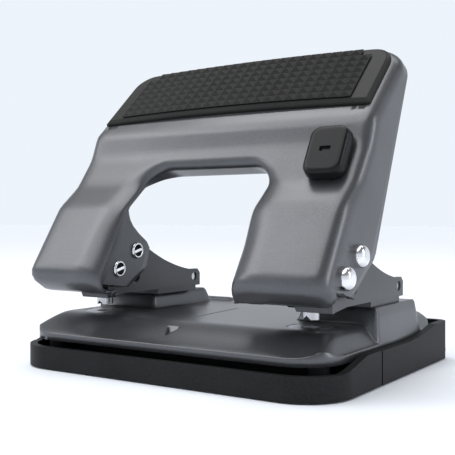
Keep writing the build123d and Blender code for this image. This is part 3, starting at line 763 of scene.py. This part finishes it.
def plate_rise(x, y):
    """The pressed plate's height: a table, slopes to the skirt and two raised blocks."""
    side = plate_x - abs(x)
    slope = smoothed_least([
        side / side_slope, (y - plate_low[1]) / front_slope, (plate_high[1] - y) / rear_slope,
    ])
    z = skirt_top + (table_z - skirt_top) * ease(0.0, 1.0, slope) ** 0.85
    rib = rib_rise * ease(0, 2.5, y - rib_front) * ease(0, 2.5, rib_rear - y)
    rib = rib * ease(0, 3, abs(x) - rib_inner) * ease(0, 2, side - 3)
    block = ease(0, 2.0, abs(x) - block_x) * ease(0, 2.4, y - block_front) * ease(0, 4.5, block_rear + 2 - y)
    block *= ease(-0.2, 1.5, side)
    z = z + rib + (block_top - z) * block
    arrow, line = 0.0, 9.0
    if arrow_tip < y < arrow_end:
        arrow = max(0.0, 1 - abs(x) / max(0.01, arrow_spread * (y - arrow_tip)))
    if line_front < y < line_rear:
        line = abs(x + 3.7 + 0.085 * (y + 5.5))
    return z - arrow_sink * min(1.0, arrow * 3) - line_sink * max(0.0, 1 - line / line_half)


def plate_spot(x, y):
    """The grid point moved onto the outline or a die hole's rim if it's past it; True if it was."""
    moved = False
    middle_y = (plate_low[1] + plate_high[1]) / 2
    half_y = (plate_high[1] - plate_low[1]) / 2
    past = Vector((abs(x) - plate_x + skirt_corner, abs(y - middle_y) - half_y + skirt_corner))
    if min(past) > 0 and past.length > skirt_corner - 0.01:
        past *= skirt_corner / past.length
        x = (plate_x - skirt_corner + past[0]) * (1 if x > 0 else -1)
        y = middle_y + (half_y - skirt_corner + past[1]) * (1 if y > middle_y else -1)
        moved = True
    for place in die_places:
        gap = Vector((x, y)) - place
        if gap.length < die_radius:
            gap = gap.normalized() * die_radius if gap.length > 0.01 else Vector((die_radius, 0))
            x, y = place + gap
            moved = True
    return x, y, moved


def grid_lines(low, high, step, fine_zones):
    """Evenly spaced lines with closer ones inside the fine zones, each (from, to, step)."""
    lines = {low, high}
    lines |= {low + step * k for k in range(1, int((high - low) / step) + 1)}
    for one, two, fine in fine_zones:
        lines = {v for v in lines if not one < v < two}
        lines |= {one + fine * k for k in range(int((two - one) / fine) + 1)}
    return sorted(v for v in lines if low <= v <= high)


def build_plate():
    across = grid_lines(-plate_x, plate_x, grid_step, [
        (place - reach, place + reach, fine) for place, reach, fine in (
            (-54, 1.6, 0.4), (54, 1.6, 0.4), (-29, 1.6, 0.45), (29, 1.6, 0.45),
            (-3.2, 3.0, 0.28), (2.2, 2.0, 0.4),
        )
    ])
    along = grid_lines(plate_low[1], plate_high[1], grid_step, [
        (-44.4, -41, 0.6), (-39.2, -34.2, 0.4), (-9.6, -6.4, 0.4), (23, 29, 0.7),
    ])
    points, moved = [], []
    for y in along:
        for x in across:
            px, py, past = plate_spot(x, y)
            points.append((px, py, plate_rise(px, py)))
            moved.append(past)
    wide = len(across)
    faces = []
    for j in range(len(along) - 1):
        for i in range(wide - 1):
            quad = (j * wide + i, j * wide + i + 1, (j + 1) * wide + i + 1, (j + 1) * wide + i)
            if not all(moved[v] for v in quad):
                faces.append(quad)
    return points, faces


plate = new_piece("base_plate_form", *build_plate(), satin_grey)
tidy_mesh(plate, 0.01, recalc=False)
form = bmesh.new()
form.from_mesh(plate.data)


def die_distance(edge):
    return min(((v.co / mm).to_2d() - place).length for v in edge.verts for place in die_places)


rim = [e for e in form.edges if e.is_boundary and die_distance(e) > die_radius + 0.3]
for drop in skirt_drops:
    skirt = bmesh.ops.extrude_edge_only(form, edges=rim)["geom"]
    for vert in [g for g in skirt if isinstance(g, bmesh.types.BMVert)]:
        vert.co.z = (skirt_top - drop) * mm
    rim = [g for g in skirt if isinstance(g, bmesh.types.BMEdge) and g.is_boundary]
for face in form.faces:
    face.smooth = True
bmesh.ops.recalc_face_normals(form, faces=form.faces)
if sum(face.normal.z for face in form.faces) < 0:
    bmesh.ops.reverse_faces(form, faces=form.faces)
form.to_mesh(plate.data)
form.free()
modify(plate, "SOLIDIFY", thickness=1.2 * mm, offset=-1.0)
bake(plate)
settle(plate, "base_plate")


# ------------------------------------------------------------- lock button
def rounded_ring(half_x, half_y, radius, steps=6):
    """Points round a rectangle with rounded corners, about its middle."""
    ring = []
    for q, (sx, sy) in enumerate(((1, 1), (-1, 1), (-1, -1), (1, -1))):
        for k in range(steps + 1):
            a = pi / 2 * (q + k / steps)
            ring.append((sx * (half_x - radius) + radius * cos(a), sy * (half_y - radius) + radius * sin(a)))
    return ring


def ringed(rings, close_first=True, close_last=True):
    """Points and faces of a stack of rings with the same number of points."""
    points, faces, rows = [], [], []
    for ring in rings:
        rows.append(list(range(len(points), len(points) + len(ring))))
        points += ring
    for one, two in zip(rows, rows[1:]):
        for k in range(len(one)):
            n = (k + 1) % len(one)
            faces.append((one[k], one[n], two[n], two[k]))
    if close_first:
        faces.append(tuple(rows[0][::-1]))
    if close_last:
        faces.append(tuple(rows[-1]))
    return points, faces


lock_low, lock_high = (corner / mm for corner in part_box("lock_button"))
lock_way = Vector(next(j for j in frame["joints"] if j["name"] == "lock_slide")["axis"])
lock_up = -lock_way
lock_out = Vector((0, -lock_up[2], lock_up[1]))
lock_x = (lock_low[0] + lock_high[0]) / 2
button_half = Vector(((lock_high[0] - lock_low[0]) / 2, 8.5))
lock_origin = Vector((0, pivot[1], pivot[2]))
button_spots = [v.co / mm - lock_origin for v in frame["nodes"]["lock_button"].data.vertices]
button_top = max(spot.dot(lock_out) for spot in button_spots)
button_run = [spot.dot(lock_up) for spot in button_spots]
button_middle = (max(button_run) + min(button_run)) / 2


def button_point(x, up, lift):
    """A point of the lock button: across, up its slide, and below its face."""
    spot = lock_up * (button_middle + up) + lock_out * (button_top + lift)
    return (lock_x + x, pivot[1] + spot[1], pivot[2] + spot[2])


cap_rings = [
    (button_half[0] - inset, button_half[1] - inset, radius, lift) for inset, radius, lift in (
        (0.3, 3.2, -4.4), (0.05, 3.4, -3.2), (0.3, 3.4, -1.0),
        (0.65, 3.1, -0.35), (1.3, 2.6, -0.05), (2.2, 2.0, -0.05),
    )
]
slot_rings = [(1.8, 0.9, 0.3, -0.05), (1.7, 0.8, 0.3, -0.12), (1.6, 0.7, 0.3, -1.0)]
button_rings = []
for half_x, half_y, radius, lift in cap_rings + slot_rings:
    button_rings.append([button_point(x, y, lift) for x, y in rounded_ring(half_x, half_y, radius)])
button = new_piece("lock_button_form", *ringed(button_rings), lock_black)
tidy_mesh(button, 0.001)
modify(button, "BEVEL", width=0.12 * mm, segments=2, limit_method="ANGLE", angle_limit=radians(40))
modify(button, "WEIGHTED_NORMAL", keep_sharp=False, weight=60)
bake(button)
settle(button, "lock_button")


# ------------------------------------------------------------ screw heads
screw_rise = 0.8
recess_inset = 0.85
bar_half, bar_turn = 0.42, 0.25


def turned(name, place, way, profile, material, painted_shade_within, dark):
    """A turned form about X, from (radius, height) pairs, with painted shade (a second, dark material) within
    a radius.
    """
    rings = []
    for radius, height in profile:
        ring = []
        for k in range(36):
            a = way * 2 * pi * k / 36
            ring.append((place[0] + way * height, place[1] + radius * cos(a), place[2] + radius * sin(a)))
        rings.append(ring)
    piece = new_piece(name, *ringed(rings), material)
    # The dark second material is painted shade on the faces within the radius.
    piece.data.materials.append(dark)
    for face in piece.data.polygons:
        if ((face.center / mm).yz - Vector(place[1:])).length < painted_shade_within:
            face.material_index = 1
    return piece


def slotted_screw(node, sign):
    """A raised ring round a recess painted dark as shade, which a bright bar crosses."""
    low, high = (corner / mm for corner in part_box(node))
    middle_y, middle_z = (low[1] + high[1]) / 2, (low[2] + high[2]) / 2
    tip = low[0] if sign > 0 else high[0]
    outer = (high[1] - low[1]) / 2
    # The black lock plastic fills the recess floor as painted shade in the chrome head.
    head = turned(
        f"{node}_head", (tip + sign * screw_rise, middle_y, middle_z), -sign,
        [(outer - 0.1, 0.0), (outer, 0.15), (outer, 0.5), (outer - 0.25, 0.76),
         (outer - 0.55, 0.8), (outer - 0.8, 0.72), (outer - 0.9, 0.2), (0.3, 0.2)],
        bright_chrome, outer - recess_inset, lock_black,
    )
    rings = []
    for lift in (0.6, 0.12, 0.08):
        ring = []
        for x, y in rounded_ring(outer - recess_inset, bar_half, 0.1, 2):
            across = middle_y + x * cos(bar_turn) - y * sin(bar_turn)
            up = middle_z + x * sin(bar_turn) + y * cos(bar_turn)
            ring.append((tip + sign * lift, across, up))
        rings.append(ring)
    bar = new_piece("bar", *ringed(rings), bright_chrome, smooth=False)
    form = bmesh.new()
    form.from_mesh(head.data)
    form.from_mesh(bar.data)
    bmesh.ops.recalc_face_normals(form, faces=form.faces)
    form.to_mesh(head.data)
    form.free()
    bpy.data.objects.remove(bar)
    settle(head, node)


for side, sign in SIDES.items():
    slotted_screw(f"pivot_screw_{side}", sign)
    slotted_screw(f"pusher_screw_{side}", sign)

# ------------------------------------------------------- softened CAD forms
softened("tray_body", 1.3, 3)
softened("chip_tray", 1.3, 3)
for side in SIDES:
    softened(f"bracket_{side}", 0.3, 2)
    softened(f"punch_guide_{side}", 0.4, 2)


# ------------------------------------------------------------------- stage
def softbox(name, place, target, size, power):
    light = bpy.data.lights.new(name, "AREA")
    light.shape = "RECTANGLE"
    light.size, light.size_y = size
    light.energy = power
    lamp = bpy.data.objects.new(name, light)
    bpy.context.scene.collection.objects.link(lamp)
    lamp.location = place
    lamp.rotation_euler = (Vector(place) - Vector(target)).to_track_quat("Z", "Y").to_euler()


middle = (cad_box[0] + cad_box[1]) / 2
softbox("key", (-0.6, -0.35, 0.5), middle, (0.25, 0.45), 1.2)
softbox("top", (-0.1, 0.3, 0.8), middle, (0.9, 0.25), 1.5)
softbox("side", (0.65, 0.15, 0.3), middle, (0.12, 0.5), 1.2)
sun = bpy.data.objects.new("high_sun", bpy.data.lights.new("high_sun", "SUN"))
sun.data.energy = 2.2
sun.data.angle = radians(60)
sun.rotation_euler = (radians(12), radians(-14), 0)
bpy.context.scene.collection.objects.link(sun)

floor_size = 6.0
floor = bpy.data.objects.new("floor", bpy.data.meshes.new("floor"))
floor_corners = [(x * floor_size, y * floor_size, 0) for x, y in ((-1, -1), (1, -1), (1, 1), (-1, 1))]
floor.data.from_pydata(floor_corners, [], [(0, 1, 2, 3)])
bpy.context.scene.collection.objects.link(floor)
floor.data.materials.append(finish("pale_floor", (0.84, 0.87, 0.92), (0.86, 0.89, 0.94), 0.7, 0.05, 30, 0.0))

world = bpy.data.worlds.new("studio")
world.use_nodes = True
sky = world.node_tree
sky.nodes.clear()
sky_place = add_node(sky, "ShaderNodeTexCoord")
height = add_node(sky, "ShaderNodeSeparateXYZ", values={"Vector": sky_place}, output="Z")
sky_stops = [
    (0.0, (0.85, 0.9, 0.965)), (0.3, (0.85, 0.9, 0.965)),
    (0.62, (0.3, 0.31, 0.33)), (1.0, (0.22, 0.23, 0.24)),
]
tone = add_node(sky, "ShaderNodeValToRGB", {"stops": sky_stops}, {"Fac": height})
glow = add_node(sky, "ShaderNodeBackground", values={"Color": tone, "Strength": 1.0})
world_end = sky.nodes.new("ShaderNodeOutputWorld")
sky.links.new(glow.socket, world_end.inputs["Surface"])
bpy.context.scene.world = world
bpy.context.scene.view_settings.view_transform = "Standard"

camera = bpy.data.objects.new("camera", bpy.data.cameras.new("camera"))
bpy.context.scene.collection.objects.link(camera)
camera.data.lens = 63.7
camera.data.sensor_width = 36.0
camera.data.clip_start = 0.01
camera.location = (0.1493, -0.2302, 0.0481)
turn, tilt = radians(33.56), radians(-0.52)
looking = Vector((-sin(turn) * cos(tilt), cos(turn) * cos(tilt), sin(tilt)))
camera.rotation_euler = looking.to_track_quat("-Z", "Y").to_euler()
bpy.context.scene.camera = camera
